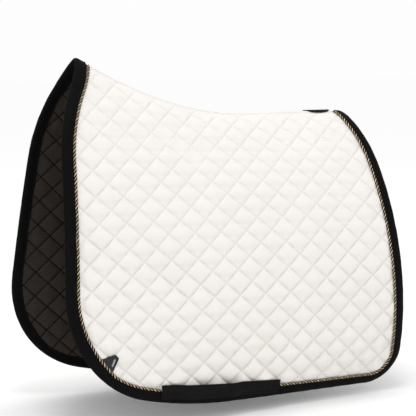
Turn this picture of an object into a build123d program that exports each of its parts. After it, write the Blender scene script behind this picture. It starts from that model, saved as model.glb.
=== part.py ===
from build123d import *
import math
import os

# Dressage saddle pad: two quilted flaps joined along the spine, millimetres.
# +X runs from the withers to the rear, +Z is up, -Y is the left (girth) side.
# The origin lies on the centre plane at the underside of the spine, where the pad
# rests on the back below the rider's seat.

os.makedirs("parts", exist_ok=True)

# ---- layers, as depths inside the outer face of the quilted cover ----
COVER_THICK = 1.2
CORE_THICK = 6.0
LINING_THICK = 1.0
LAYER_GAP = 0.15
TAPE_THICK = 0.9
TAPE_GAP = 0.3
CORE_DEPTH = COVER_THICK + LAYER_GAP
LINING_DEPTH = CORE_DEPTH + CORE_THICK + LAYER_GAP
PANEL_DEPTH = LINING_DEPTH + LINING_THICK

# ---- crown line over the withers, seat and loin ----
WITHERS_X = -267.0
REAR_X = 297.0
CROWN_LOW = 9.7
WITHERS_RISE = 104.3
RISE_START_X = 59.0
RISE_POWER = 1.78
PEAK_ROUNDING = 18.0

# ---- half section, from the crown to below the hem ----
FLOOR_Z = -542.0
CROWN_HANDLE_FRONT, CROWN_HANDLE_REAR = 34.5, 81.7
SWELL_FRONT, SWELL_REAR, SWELL_MIDDLE = 148.5, 253.2, 34.9
SWELL_DROP_FRONT, SWELL_DROP_REAR = 0.434, 0.508
HEM_WIDTH_FRONT, HEM_WIDTH_REAR = 154.3, 107.5
STATIONS = range(-360, 361, 40)

# ---- side outline: corner, then the radius that rounds it ----
OUTLINE = (
    ((-244.5, 163.0), 0),
    ((-324.0, -1.5), 324),
    ((-355.5, -439.5), 186),
    ((-117.0, -501.0), 784),
    ((350.5, -513.0), 63),
    ((313.0, -54.5), 376),
    ((259.0, 163.0), 0),
)
FLAP_REACH = 220.0

# ---- the fold between the flaps ----
FOLD_GAP = 12.0
SPINE_TAPE_HALF = 14.0
SPINE_BINDING_HALF = FOLD_GAP - TAPE_GAP
SPINE_PADDING_HALF = 4.5

# ---- edge binding and twisted cord ----
BINDING_THICK = 0.9
BINDING_WIDTH = 20.0
PANEL_INSET = BINDING_THICK + LAYER_GAP
CORD_RADIUS = 2.3
CORD_GAP = 0.9
CORD_INSET = BINDING_WIDTH + CORD_GAP + CORD_RADIUS
CORD_DEPTH = -CORD_GAP - CORD_RADIUS
CORD_SAMPLES = 96

# ---- girth keeper: a webbing strap sewn low on each flap, with a slack middle ----
KEEPER_CENTRE = (-55.0, -475.5)
KEEPER_LENGTH = 247.0
KEEPER_WIDTH = 26.0
KEEPER_TILT = -4.4
KEEPER_THICK = 1.6
KEEPER_GAP = 0.4
KEEPER_DEPTH = CORD_DEPTH - CORD_RADIUS - KEEPER_GAP
KEEPER_SLACK = 10.0
SLACK_FROM, SLACK_TO, SLACK_RAMP = -158.0, -6.0, 34.0
KEEPER_STATIONS = range(-192, 93, 12)
SEAMS = (-114.0, -106.0, 55.0, 105.0, 113.0)
SEAM_WIDTH = 2.2
SEAM_LENGTH = 21.0
SEAM_THICK = 0.7
SEAM_GAP = 0.1

# ---- small trim ----
PATCH_CENTRE_X = 240.5
PATCH_LENGTH = 59.0
PATCH_WIDTH = 28.0
PATCH_THICK = 1.4
TAB_CENTRE = (-267.0, -398.5)
TAB_BASE = 26.0
TAB_HEIGHT = 19.0
TAB_SIDE_ANGLE = 67
TAB_TURN = -50.0
TAB_THICK = 2.0
TAB_RIM_WIDTH = 2.0
TAB_RIM_HEIGHT = 0.8
TAB_CORNER = 3.0


def between(front, rear, x):
    """Value at x of a dimension given at the withers and at the rear."""
    return front + (rear - front) * (x - WITHERS_X) / (REAR_X - WITHERS_X)


def crown_height(x):
    """Height of the cover's outer face on the centre plane, levelling off past the withers."""
    span = RISE_START_X - WITHERS_X
    rise = max(0.0, RISE_START_X - max(x, WITHERS_X)) / span
    past = max(0.0, WITHERS_X - x) / PEAK_ROUNDING
    slope = WITHERS_RISE * RISE_POWER / span
    return CROWN_LOW + WITHERS_RISE * rise**RISE_POWER + slope * PEAK_ROUNDING * (1 - math.exp(-past))


def half_section(x, depth=0.0):
    """Bezier corners (y, z) of the half section at x, moved inward by depth."""
    crown = crown_height(x)
    along = between(0, 1, x)
    swell = between(SWELL_FRONT, SWELL_REAR, x) + SWELL_MIDDLE * along * (1 - along)
    drop = between(SWELL_DROP_FRONT, SWELL_DROP_REAR, x) * (crown - FLOOR_Z)
    corners = [
        Vector(0, crown),
        Vector(between(CROWN_HANDLE_FRONT, CROWN_HANDLE_REAR, x), crown),
        Vector(swell, crown - drop),
        Vector(between(HEM_WIDTH_FRONT, HEM_WIDTH_REAR, x), FLOOR_Z),
    ]
    legs = [(end - start).normalized() for start, end in zip(corners, corners[1:])]
    normals = [Vector(leg.Y, -leg.X) for leg in legs]
    normals = [normals[0], *normals, normals[-1]]
    moved = []
    for corner, before, after in zip(corners, normals, normals[1:]):
        moved.append(corner + (before + after) * (depth / (1 + before.dot(after))))
    return moved


def surface_y(x, z, depth):
    """Left-side y of the face at depth, at x and z."""
    corners = half_section(x, depth)
    low, high = 0.0, 1.0
    for _ in range(40):
        t = (low + high) / 2
        weights = ((1 - t) ** 3, 3 * (1 - t) ** 2 * t, 3 * (1 - t) * t**2, t**3)
        point = sum((c * w for c, w in zip(corners, weights)), Vector(0, 0))
        low, high = (t, high) if point.Y > z else (low, t)
    return -point.X


def layer(near, far, stations=STATIONS, lift=lambda x: 0.0):
    """Left half of a curved layer between two depths, raised outward by lift(x)."""
    faces = []
    for x in stations:
        with BuildSketch(Plane.YZ.offset(x)) as cut:
            with BuildLine():
                outer = Bezier(*[(-p.X, p.Y) for p in half_section(x, near - lift(x))])
                inner = Bezier(*[(-p.X, p.Y) for p in half_section(x, far - lift(x))])
                Line(outer @ 0, inner @ 0)
                Line(outer @ 1, inner @ 1)
            make_face()
        faces.append(cut.sketch)
    loft(faces)


def outline(inset=0.0, start=0.0):
    """Side outline of a flap at y = -start, moved in from the binding's outer edge."""
    with BuildSketch(Plane.XZ.offset(start)) as side:
        with BuildLine():
            FilletPolyline(*[p for p, _ in OUTLINE], radius=[r for _, r in OUTLINE], close=True)
        make_face()
        if inset:
            offset(amount=-inset)
    return side.sketch


def keep_inside(inset, start, reach):
    """Trim the part being built to the outline, from y = -start to y = -(start + reach)."""
    extrude(outline(inset, start), amount=reach, mode=Mode.INTERSECT)


def remove_inside(inset, start, reach):
    """Cut away everything inside the inset outline."""
    extrude(outline(inset, start), amount=reach, mode=Mode.SUBTRACT)


def slack(x):
    """Outward stand-off of the girth keeper between its sewn ends."""
    up = min(1.0, max(0.0, (x - SLACK_FROM) / SLACK_RAMP))
    down = min(1.0, max(0.0, (SLACK_TO - x) / SLACK_RAMP))
    smooth = [v * v * (3 - 2 * v) for v in (up, down)]
    return KEEPER_SLACK * smooth[0] * smooth[1]


def save(part, name):
    """Label a finished piece and write its STEP file."""
    part.label = name
    export_step(part, f"parts/{name}.step")


# ---- left flap: lining, foam core and quilted cover ----
with BuildPart() as left_cover:
    layer(0, COVER_THICK)
    keep_inside(PANEL_INSET, FOLD_GAP, FLAP_REACH)

with BuildPart() as left_foam_core:
    layer(CORE_DEPTH, CORE_DEPTH + CORE_THICK)
    keep_inside(PANEL_INSET, FOLD_GAP, FLAP_REACH)

with BuildPart() as left_lining:
    layer(LINING_DEPTH, PANEL_DEPTH)
    keep_inside(PANEL_INSET, FOLD_GAP, FLAP_REACH)

# ---- binding: a U over the panel's edge, showing on both faces ----
with BuildPart() as panel_room:
    layer(-LAYER_GAP, PANEL_DEPTH + LAYER_GAP)
    keep_inside(BINDING_THICK, 0, FLAP_REACH)

with BuildPart() as binding_ring:
    layer(-PANEL_INSET, PANEL_DEPTH + PANEL_INSET)
    keep_inside(0, 0, FLAP_REACH)
    remove_inside(BINDING_WIDTH, 0, FLAP_REACH)
    add(panel_room.part, mode=Mode.SUBTRACT)

with BuildPart() as left_edge_binding:
    add(binding_ring.part)
    split(bisect_by=Plane.XZ.offset(FOLD_GAP), keep=Keep.TOP)

# ---- twisted cord along the binding's inner edge ----
rim = outline(CORD_INSET).face().outer_wire()
lap = [rim @ (i / CORD_SAMPLES) for i in range(CORD_SAMPLES)]
on_flap = [
    p.Z < crown_height(p.X) + CORD_GAP and surface_y(p.X, p.Z, CORD_DEPTH) < -FOLD_GAP - CORD_RADIUS
    for p in lap
]
first = next(i for i in range(CORD_SAMPLES) if on_flap[i] and not on_flap[i - 1])
lap = [lap[(first + i) % CORD_SAMPLES] for i in range(sum(on_flap))]

with BuildPart() as left_trim_cord:
    with BuildLine() as cord_path:
        Spline(*[(p.X, surface_y(p.X, p.Z, CORD_DEPTH), p.Z) for p in lap])
    with BuildSketch(Plane(cord_path.line @ 0, z_dir=cord_path.line % 0)):
        Circle(CORD_RADIUS)
    sweep(is_frenet=True)

# ---- girth keeper strap and its stitched bars ----
with BuildPart() as left_girth_keeper:
    layer(KEEPER_DEPTH - KEEPER_THICK, KEEPER_DEPTH, KEEPER_STATIONS, slack)
    with BuildSketch(Plane.XZ.offset(FOLD_GAP)):
        with Locations(KEEPER_CENTRE):
            Rectangle(KEEPER_LENGTH, KEEPER_WIDTH, rotation=KEEPER_TILT)
    extrude(amount=FLAP_REACH, mode=Mode.INTERSECT)

with BuildPart() as left_girth_keeper_seams:
    seam_top = KEEPER_DEPTH - KEEPER_THICK - SEAM_GAP
    layer(seam_top - SEAM_THICK, seam_top, KEEPER_STATIONS, slack)
    with BuildSketch(Plane.XZ.offset(FOLD_GAP)):
        with Locations(Location(KEEPER_CENTRE, KEEPER_TILT)):
            with Locations(*[(x, 0) for x in SEAMS]):
                Rectangle(SEAM_WIDTH, SEAM_LENGTH)
    extrude(amount=FLAP_REACH, mode=Mode.INTERSECT)

# ---- rubber tab at the lower front corner of the left flap ----
with BuildPart() as left_corner_tab:
    layer(-TAPE_GAP - TAB_THICK - TAB_RIM_HEIGHT, -TAPE_GAP)
    with BuildSketch(Plane.XZ.offset(FOLD_GAP)) as tab_shape:
        with Locations(Location(TAB_CENTRE, TAB_TURN)):
            Trapezoid(TAB_BASE, TAB_HEIGHT, TAB_SIDE_ANGLE)
        fillet(tab_shape.vertices(), TAB_CORNER)
    extrude(amount=FLAP_REACH, mode=Mode.INTERSECT)

with BuildPart() as tab_recess:
    layer(-TAPE_GAP - TAB_THICK - 2 * TAB_RIM_HEIGHT, -TAPE_GAP - TAB_THICK)
    with BuildSketch(Plane.XZ.offset(FOLD_GAP)) as recess_shape:
        add(tab_shape.sketch)
        offset(amount=-TAB_RIM_WIDTH)
    extrude(amount=FLAP_REACH, mode=Mode.INTERSECT)

with left_corner_tab:
    add(tab_recess.part, mode=Mode.SUBTRACT)

# ---- spine: tapes, padding strip, binding bridges and rear patch ----
with BuildPart() as spine_tape:
    layer(-TAPE_GAP - TAPE_THICK, -TAPE_GAP)
    keep_inside(BINDING_WIDTH + TAPE_GAP, 0, SPINE_TAPE_HALF)
    mirror(about=Plane.XZ)

with BuildPart() as spine_lining_tape:
    layer(PANEL_DEPTH + TAPE_GAP, PANEL_DEPTH + TAPE_GAP + TAPE_THICK)
    keep_inside(BINDING_WIDTH + TAPE_GAP, 0, SPINE_TAPE_HALF)
    mirror(about=Plane.XZ)

with BuildPart() as spine_padding:
    layer(CORE_DEPTH, CORE_DEPTH + CORE_THICK)
    keep_inside(PANEL_INSET, 0, SPINE_PADDING_HALF)
    mirror(about=Plane.XZ)

with BuildPart() as spine_binding:
    add(binding_ring.part)
    split(bisect_by=Plane.XZ.offset(SPINE_BINDING_HALF), keep=Keep.BOTTOM)
    mirror(about=Plane.XZ)

with BuildPart() as spine_rear_patch:
    patch_top = -TAPE_THICK - 2 * TAPE_GAP
    layer(patch_top - PATCH_THICK, patch_top)
    mirror(about=Plane.XZ)
    with BuildSketch(Plane.XY):
        with Locations((PATCH_CENTRE_X, 0)):
            Ellipse(PATCH_LENGTH / 2, PATCH_WIDTH / 2)
    extrude(amount=FLAP_REACH, both=True, mode=Mode.INTERSECT)

# ---- write the pieces ----
withers_binding, rear_binding = spine_binding.solids().sort_by(Axis.X)
save(spine_tape.part, "spine_tape")
save(spine_lining_tape.part, "spine_lining_tape")
save(spine_padding.part, "spine_padding")
save(withers_binding, "spine_binding_withers")
save(rear_binding, "spine_binding_rear")
save(spine_rear_patch.part, "spine_rear_patch")
save(left_corner_tab.part, "left_corner_tab")

flap_pieces = {
    "cover": left_cover,
    "foam_core": left_foam_core,
    "lining": left_lining,
    "edge_binding": left_edge_binding,
    "trim_cord": left_trim_cord,
    "girth_keeper": left_girth_keeper,
    "girth_keeper_seams": left_girth_keeper_seams,
}
for piece_name, left_piece in flap_pieces.items():
    save(left_piece.part, f"left_{piece_name}")
    with BuildPart() as right_piece:
        mirror(left_piece.part, about=Plane.XZ)
    save(right_piece.part, f"right_{piece_name}")
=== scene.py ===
import logging
import math
from dataclasses import dataclass, field, replace
from enum import Enum

import bpy
import numpy as np
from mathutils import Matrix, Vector


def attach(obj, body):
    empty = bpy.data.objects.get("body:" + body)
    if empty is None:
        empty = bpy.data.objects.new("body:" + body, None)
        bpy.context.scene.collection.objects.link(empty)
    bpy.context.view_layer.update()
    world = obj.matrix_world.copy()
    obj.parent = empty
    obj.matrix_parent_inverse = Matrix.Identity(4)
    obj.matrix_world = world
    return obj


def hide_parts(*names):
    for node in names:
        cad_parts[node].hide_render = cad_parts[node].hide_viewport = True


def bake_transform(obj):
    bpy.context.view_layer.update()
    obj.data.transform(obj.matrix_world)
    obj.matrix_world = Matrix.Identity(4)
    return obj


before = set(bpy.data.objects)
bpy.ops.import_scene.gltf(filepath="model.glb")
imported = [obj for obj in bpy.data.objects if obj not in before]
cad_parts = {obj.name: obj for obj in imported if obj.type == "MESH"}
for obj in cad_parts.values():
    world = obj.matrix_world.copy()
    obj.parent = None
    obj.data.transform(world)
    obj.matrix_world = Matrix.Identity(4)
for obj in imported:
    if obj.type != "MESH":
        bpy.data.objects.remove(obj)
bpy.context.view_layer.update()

LOG = logging.getLogger("saddle_pad")
MM = 0.001


class Side(Enum):
    """One flap of the pad, with the sign of its y coordinates."""

    LEFT = -1
    RIGHT = 1

    @property
    def word(self) -> str:
        """The side's name in lower case."""
        return self.name.lower()

    @property
    def body(self) -> str:
        """The moving body that the flap belongs to."""
        return f"{self.word}_flap"


class Weave(Enum):
    """Kinds of surface relief that a finish can carry."""

    SATEEN = "sateen"
    RIBBED_MESH = "ribbed mesh"
    TAPE = "tape"
    WEBBING = "webbing"
    THREAD = "thread"
    MOULDED = "moulded"


# --------------------------------------------------------------------------- shape


def smooth(value: np.ndarray) -> np.ndarray:
    """Smoothstep of a value clipped to 0..1."""
    t = np.clip(value, 0.0, 1.0)
    return t * t * (3 - 2 * t)


def rising(value: np.ndarray, start: float, end: float) -> np.ndarray:
    """A smooth rise from 0 where the value is start to 1 where it is end."""
    return smooth((value - start) / (end - start))


def run_along(points: np.ndarray) -> np.ndarray:
    """Distance of each point from the first, along the line that they make."""
    legs = np.linalg.norm(np.diff(points, axis=0), axis=1)
    return np.concatenate([[0.0], np.cumsum(legs)])


def resampled(points: np.ndarray, run: np.ndarray) -> np.ndarray:
    """Points at the given distances along a line of points."""
    along = run_along(points)
    return np.stack([np.interp(run, along, column) for column in points.T], axis=-1)


@dataclass(frozen=True)
class Ripple:
    """Gentle unevenness of cloth: a fixed sum of waves over the flat fabric.

    Args:
        amplitude: largest usual height in millimetres.
        wavelength: typical distance between crests in millimetres.
        seed: picks the waves' directions and phases.
    """

    amplitude: float
    wavelength: float
    seed: int
    waves: int = 7

    def height(self, x: np.ndarray, v: np.ndarray) -> np.ndarray:
        """Height of the ripple.

        Args:
            x: distances along the pad, in millimetres.
            v: distances down the pad from the spine, in millimetres.

        Returns:
            Heights in millimetres, about zero.
        """
        rng = np.random.RandomState(self.seed)
        total = np.zeros(np.broadcast(x, v).shape)
        for _ in range(self.waves):
            angle, phase = rng.uniform(0, 2 * math.pi, 2)
            k = 2 * math.pi / (self.wavelength * rng.uniform(0.7, 1.5))
            total += np.sin(k * (math.cos(angle) * x + math.sin(angle) * v) + phase)
        return self.amplitude * total / math.sqrt(self.waves)


@dataclass
class PadForm:
    """The curved shape of the whole pad, in millimetres in the row frame.

    A point on a flap is named by x, the distance along the pad, and v, the distance over the
    cover from the spine down the flap. Lift is the height above the cover's nominal outer face.
    """

    withers_x: float = -267.0
    rear_x: float = 297.0
    crown_low: float = 9.7
    withers_rise: float = 104.3
    rise_start: float = 59.0
    rise_power: float = 1.78
    peak_rounding: float = 18.0
    floor_z: float = -542.0
    crown_handle: tuple[float, float] = (34.5, 81.7)
    swell: tuple[float, float, float] = (148.5, 253.2, 34.9)
    swell_drop: tuple[float, float] = (0.434, 0.508)
    hem_width: tuple[float, float] = (154.3, 107.5)
    x_table: np.ndarray = field(init=False)
    t_table: np.ndarray = field(init=False)
    v_of_t: np.ndarray = field(init=False)
    t_of_v: np.ndarray = field(init=False)
    x_reach: float = 372.0
    x_step: float = 4.0
    v_reach: float = 660.0
    v_step: float = 2.0

    def __post_init__(self) -> None:
        """Tabulate the distance down the flap against the section's parameter."""
        self.x_table = np.arange(-self.x_reach, self.x_reach + 1.0, self.x_step)
        self.t_table = np.linspace(0.0, 1.0, 501)
        section = self._bezier(self.x_table[:, None], self.t_table[None, :])
        legs = np.linalg.norm(np.diff(section[..., 1:], axis=1), axis=-1)
        self.v_of_t = np.concatenate([np.zeros((len(legs), 1)), np.cumsum(legs, axis=1)], axis=1)
        v = np.arange(0.0, self.v_reach + 1.0, self.v_step)
        self.t_of_v = np.array([np.interp(v, row, self.t_table) for row in self.v_of_t])

    def crown(self, x: np.ndarray) -> np.ndarray:
        """Height of the cover's outer face on the centre plane.

        Args:
            x: distances along the pad.

        Returns:
            Heights in millimetres.
        """
        span = self.rise_start - self.withers_x
        rise = np.maximum(0.0, self.rise_start - np.maximum(x, self.withers_x)) / span
        past = np.maximum(0.0, self.withers_x - x) / self.peak_rounding
        slope = self.withers_rise * self.rise_power / span
        top = self.crown_low + self.withers_rise * rise**self.rise_power
        return top + slope * self.peak_rounding * (1 - np.exp(-past))

    def _bezier(self, x: np.ndarray, t: np.ndarray) -> np.ndarray:
        """Points of the half sections, on the +y side.

        Args:
            x: distances along the pad.
            t: the section's parameter, 0 at the crown and 1 at the floor.

        Returns:
            An array of points in millimetres.
        """
        along = (x - self.withers_x) / (self.rear_x - self.withers_x)
        crown = self.crown(x)

        def between(pair: tuple[float, float]) -> np.ndarray:
            """Value along the pad between its figures at the withers and the rear."""
            return pair[0] + (pair[1] - pair[0]) * along

        swell = between(self.swell[:2]) + self.swell[2] * along * (1 - along)
        drop = between(self.swell_drop) * (crown - self.floor_z)
        a, b, c = 3 * (1 - t) ** 2 * t, 3 * (1 - t) * t**2, t**3
        y = a * between(self.crown_handle) + b * swell + c * between(self.hem_width)
        z = crown - b * drop - c * (crown - self.floor_z)
        return np.stack([x + 0 * t, y, z], axis=-1)

    def _lookup(self, table: np.ndarray, x: np.ndarray, u: np.ndarray) -> np.ndarray:
        """Bilinear value of a table.

        Args:
            table: values by x and column.
            x: distances along the pad.
            u: positions between the columns.

        Returns:
            The values, in the shape of x.
        """
        i = np.clip((x - self.x_table[0]) / self.x_step, 0, len(self.x_table) - 1.001)
        j = np.clip(u, 0, table.shape[1] - 1.001)
        i0, j0 = i.astype(int), j.astype(int)
        fi, fj = i - i0, j - j0
        low = table[i0, j0] * (1 - fj) + table[i0, j0 + 1] * fj
        high = table[i0 + 1, j0] * (1 - fj) + table[i0 + 1, j0 + 1] * fj
        return low * (1 - fi) + high * fi

    def nominal(self, x: np.ndarray, v: np.ndarray) -> np.ndarray:
        """Points of the nominal outer face.

        Args:
            x: distances along the pad.
            v: distances down the flap.

        Returns:
            An array of points, with y of the same sign as v.
        """
        t = self._lookup(self.t_of_v, x, np.abs(v) / self.v_step)
        points = self._bezier(x, t)
        points[..., 1] *= np.where(v < 0, -1.0, 1.0)
        return points

    def outward(self, x: np.ndarray, v: np.ndarray) -> np.ndarray:
        """Directions outward from the nominal face.

        Args:
            x: distances along the pad.
            v: distances down the flap.

        Returns:
            Unit vectors, with y of the same sign as v.
        """
        reach = 2.0
        along = self.nominal(x + reach, v) - self.nominal(x - reach, v)
        down = self.nominal(x, v + reach) - self.nominal(x, v - reach)
        normal = np.cross(along, down)
        return normal / np.linalg.norm(normal, axis=-1, keepdims=True)

    def place(self, x: np.ndarray, v: np.ndarray, lift: np.ndarray, side: Side) -> np.ndarray:
        """Positions in metres.

        Args:
            x: distances along the pad.
            v: distances down the flap.
            lift: heights above the nominal face.
            side: the flap.

        Returns:
            An array of points in metres in the row frame.
        """
        x, v, lift = np.broadcast_arrays(*(np.asarray(q, float) for q in (x, v, lift)))
        points = self.nominal(x, v) + self.outward(x, v) * lift[..., None]
        points[..., 1] *= side.value
        return points * MM

    def normals(self, x: np.ndarray, v: np.ndarray, side: Side) -> np.ndarray:
        """Directions outward from one flap.

        Args:
            x: distances along the pad.
            v: distances down the flap.
            side: the flap.

        Returns:
            Unit vectors in the row frame.
        """
        normal = self.outward(x, v)
        normal[..., 1] *= side.value
        return normal

    def down(self, x: np.ndarray, z: np.ndarray) -> np.ndarray:
        """Find how far down the flap a height lies.

        Args:
            x: distances along the pad.
            z: heights.

        Returns:
            Distances down the flap.
        """
        low, high = np.zeros_like(x), np.ones_like(x)
        for _ in range(40):
            t = (low + high) / 2
            above = self._bezier(x, t)[..., 2] > z
            low, high = np.where(above, t, low), np.where(above, high, t)
        return self._lookup(self.v_of_t, x, low * (len(self.t_table) - 1))


@dataclass
class Rim:
    """The flap's bound edge as a line on the flat fabric, from the withers round to the rear.

    Args:
        form: the pad's shape.
    """

    form: PadForm
    corners: tuple[tuple[float, float, float], ...] = (
        (-244.5, 163.0, 0.0),
        (-324.0, -1.5, 324.0),
        (-355.5, -439.5, 186.0),
        (-117.0, -501.0, 784.0),
        (350.5, -513.0, 63.0),
        (313.0, -54.5, 376.0),
        (259.0, 163.0, 0.0),
    )
    step: float = 2.0
    averaged: int = 7
    spacing: float = 0.2
    line: np.ndarray = field(init=False)
    inward: np.ndarray = field(init=False)

    def __post_init__(self) -> None:
        """Lay the side outline on the flat fabric and space its points evenly."""
        side = self._rounded()
        crown = self.form.crown(side[:, 0])
        side = side[side[:, 1] < crown - 0.05]
        flat = np.column_stack([side[:, 0], self.form.down(side[:, 0], side[:, 1])])
        flat = np.vstack([[flat[0, 0], 0.0], flat, [flat[-1, 0], 0.0]])
        length = run_along(flat)[-1]
        self.line = resampled(flat, np.linspace(0.0, length, int(length / self.step) + 1))
        tangent = np.gradient(self.line, axis=0)
        tangent[0], tangent[-1] = (0.0, 1.0), (0.0, -1.0)
        kernel = np.ones(self.averaged) / self.averaged
        for k in (0, 1):
            padded = np.pad(tangent[:, k], self.averaged // 2, mode="edge")
            tangent[:, k] = np.convolve(padded, kernel, mode="valid")
        tangent /= np.linalg.norm(tangent, axis=1, keepdims=True)
        self.inward = np.column_stack([tangent[:, 1], -tangent[:, 0]])

    def _rounded(self) -> np.ndarray:
        """Round the corners of the side outline.

        Returns:
            The outline as closely spaced (x, z) points.
        """
        points = [np.array(self.corners[0][:2])]
        for before, here, after in zip(self.corners, self.corners[1:], self.corners[2:]):
            start, corner, end = (np.array(c[:2]) for c in (before, here, after))
            into = (corner - start) / np.linalg.norm(corner - start)
            out = (end - corner) / np.linalg.norm(end - corner)
            turn = math.acos(float(np.clip(into @ out, -1, 1)))
            reach = here[2] * math.tan(turn / 2)
            centre = corner - into * reach + np.array([-into[1], into[0]]) * here[2]
            first = corner - into * reach - centre
            for angle in np.linspace(0, turn, max(2, int(here[2] * turn / self.spacing))):
                c, s = math.cos(angle), math.sin(angle)
                turned = (c * first[0] - s * first[1], s * first[0] + c * first[1])
                points.append(centre + np.array(turned))
        points.append(np.array(self.corners[-1][:2]))
        path = np.array(points)
        return resampled(path, np.arange(0.0, run_along(path)[-1], self.spacing))

    @property
    def length(self) -> float:
        """Length of the edge on the flat fabric."""
        return self.step * (len(self.line) - 1)

    def at(self, run: np.ndarray, inset: np.ndarray) -> tuple[np.ndarray, np.ndarray]:
        """Flat position of points near the edge.

        Args:
            run: distances along the edge from the withers.
            inset: distances inward from the edge.

        Returns:
            The x and v of each point.
        """
        index = np.clip(run / self.step, 0, len(self.line) - 1)
        grid = np.arange(len(self.line))
        x = np.interp(index, grid, self.line[:, 0]) + inset * np.interp(index, grid, self.inward[:, 0])
        v = np.interp(index, grid, self.line[:, 1]) + inset * np.interp(index, grid, self.inward[:, 1])
        return x, v

    def inside(self, x: np.ndarray, v: np.ndarray) -> np.ndarray:
        """Distance inside the edge.

        Args:
            x: distances along the pad.
            v: distances down the flap.

        Returns:
            Distances in millimetres, negative outside the edge.
        """
        flat = np.column_stack([x.ravel(), v.ravel()])
        found = np.empty(len(flat))
        for start in range(0, len(flat), 4000):
            offset = flat[start : start + 4000, None, :] - self.line[None]
            near = np.argmin((offset**2).sum(-1), axis=1)
            rows = np.arange(len(near))
            gap = offset[rows, near]
            side = (gap * self.inward[near]).sum(-1)
            found[start : start + 4000] = np.sign(side) * np.linalg.norm(gap, axis=1)
        return found.reshape(x.shape)


@dataclass(frozen=True)
class Quilt:
    """Diamond quilting: a slanted lattice of stitch lines on the flat fabric.

    Args:
        origin: a crossing of two stitch lines, as x and distance below the crown's height.
        falling: step along a stitch line that falls towards the rear.
        rising: step along a stitch line that rises towards the rear.
    """

    origin: tuple[float, float] = (-93.0, 291.9)
    falling: tuple[float, float] = (26.0, 25.2)
    rising: tuple[float, float] = (25.2, -21.2)
    crown_offset: float = 13.0
    softness: float = 0.8
    gathers: float = 4.0
    gather_reach: float = 0.16
    gather_gap: float = 0.2

    def flat(self, form: PadForm, a: np.ndarray, b: np.ndarray) -> tuple[np.ndarray, np.ndarray]:
        """Flat position of lattice points.

        Args:
            form: the pad's shape.
            a: counts along the falling lines.
            b: counts along the rising lines.

        Returns:
            The x and v of each point.
        """
        x = self.origin[0] + a * self.falling[0] + b * self.rising[0]
        w = self.origin[1] + a * self.falling[1] + b * self.rising[1]
        return x, w + form.crown(x) - self.crown_offset

    def lattice(self, form: PadForm, x: np.ndarray, v: np.ndarray) -> tuple[np.ndarray, np.ndarray]:
        """Lattice coordinates of flat points.

        Args:
            form: the pad's shape.
            x: distances along the pad.
            v: distances down the flap.

        Returns:
            The a and b of each point.
        """
        (ax, aw), (bx, bw) = self.falling, self.rising
        dx = x - self.origin[0]
        dw = v - form.crown(x) + self.crown_offset - self.origin[1]
        area = ax * bw - aw * bx
        return (dx * bw - dw * bx) / area, (ax * dw - aw * dx) / area

    def puff(self, a: np.ndarray, b: np.ndarray) -> np.ndarray:
        """Height of the padding, 0 on a stitch line and 1 in the middle of a diamond."""
        fa, fb = a - np.floor(a), b - np.floor(b)
        return (16 * fa * (1 - fa) * fb * (1 - fb)) ** self.softness

    def pucker(self, a: np.ndarray, b: np.ndarray) -> np.ndarray:
        """Fine gathers that cross each stitch line and fade within the diamond.

        Args:
            a: counts along the falling lines.
            b: counts along the rising lines.

        Returns:
            Heights between about -1 and 1.
        """
        near_a, near_b = np.abs(a - np.round(a)), np.abs(b - np.round(b))
        along_b = np.sin(2 * math.pi * (self.gathers * b + 0.37 * np.round(a)) + 1.3 * np.sin(5 * b))
        along_a = np.sin(2 * math.pi * (self.gathers * a + 0.61 * np.round(b)) + 1.3 * np.sin(4 * a))
        across_a = np.exp(-near_a / self.gather_reach) * smooth(near_b / self.gather_gap)
        across_b = np.exp(-near_b / self.gather_reach) * smooth(near_a / self.gather_gap)
        return along_b * across_a + along_a * across_b


# --------------------------------------------------------------------------- finishes


BUMP_STRENGTH = 0.6
UNEVEN_SCALE = 14.0
RIB_SHADE = 0.45
STITCHES_PER_DIAMOND = 11.0
STITCH_GAP = 0.1
STITCH_HEIGHT = 0.0006
# Half widths of the stitch lines, as shares of a diamond: on the lining, the band of painted crease
# shade; on the cover, the thread's bump.
LINING_CREASE_SHADE = 0.027
COVER_SEAM = 0.013
# The wave texture's scale for one band in a metre.
WAVE_UNIT = 2 * math.pi / 20.0


def calculate(
    tree: bpy.types.NodeTree, operation: str, *values: bpy.types.NodeSocket | float
) -> bpy.types.NodeSocket:
    """Add a maths node.

    Args:
        tree: the material's nodes.
        operation: the node's operation.
        values: its inputs, each a socket or a plain number.

    Returns:
        The node's output.
    """
    node = tree.nodes.new("ShaderNodeMath")
    node.operation = operation
    for number, value in enumerate(values):
        if isinstance(value, float):
            node.inputs[number].default_value = value
        else:
            tree.links.new(value, node.inputs[number])
    return node.outputs["Value"]


def flat_axes(tree: bpy.types.NodeTree, layer: str) -> list[bpy.types.NodeSocket]:
    """Read a UV layer.

    Args:
        tree: the material's nodes.
        layer: the name of the layer.

    Returns:
        Its two coordinates, as sockets.
    """
    place = tree.nodes.new("ShaderNodeUVMap")
    place.uv_map = layer
    parts = tree.nodes.new("ShaderNodeSeparateXYZ")
    tree.links.new(place.outputs["UV"], parts.inputs["Vector"])
    return [parts.outputs["X"], parts.outputs["Y"]]


def raise_surface(
    tree: bpy.types.NodeTree,
    height: bpy.types.NodeSocket,
    distance: float,
    normal: bpy.types.NodeSocket | None,
) -> bpy.types.NodeSocket:
    """Bump from a height.

    Args:
        tree: the material's nodes.
        height: the height, 0 to 1.
        distance: how tall a height of 1 is, in metres.
        normal: an earlier bump to add to, or None.

    Returns:
        The bumped normal.
    """
    bump = tree.nodes.new("ShaderNodeBump")
    bump.inputs["Strength"].default_value = BUMP_STRENGTH
    bump.inputs["Distance"].default_value = distance
    tree.links.new(height, bump.inputs["Height"])
    if normal is not None:
        tree.links.new(normal, bump.inputs["Normal"])
    return bump.outputs["Normal"]


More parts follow.
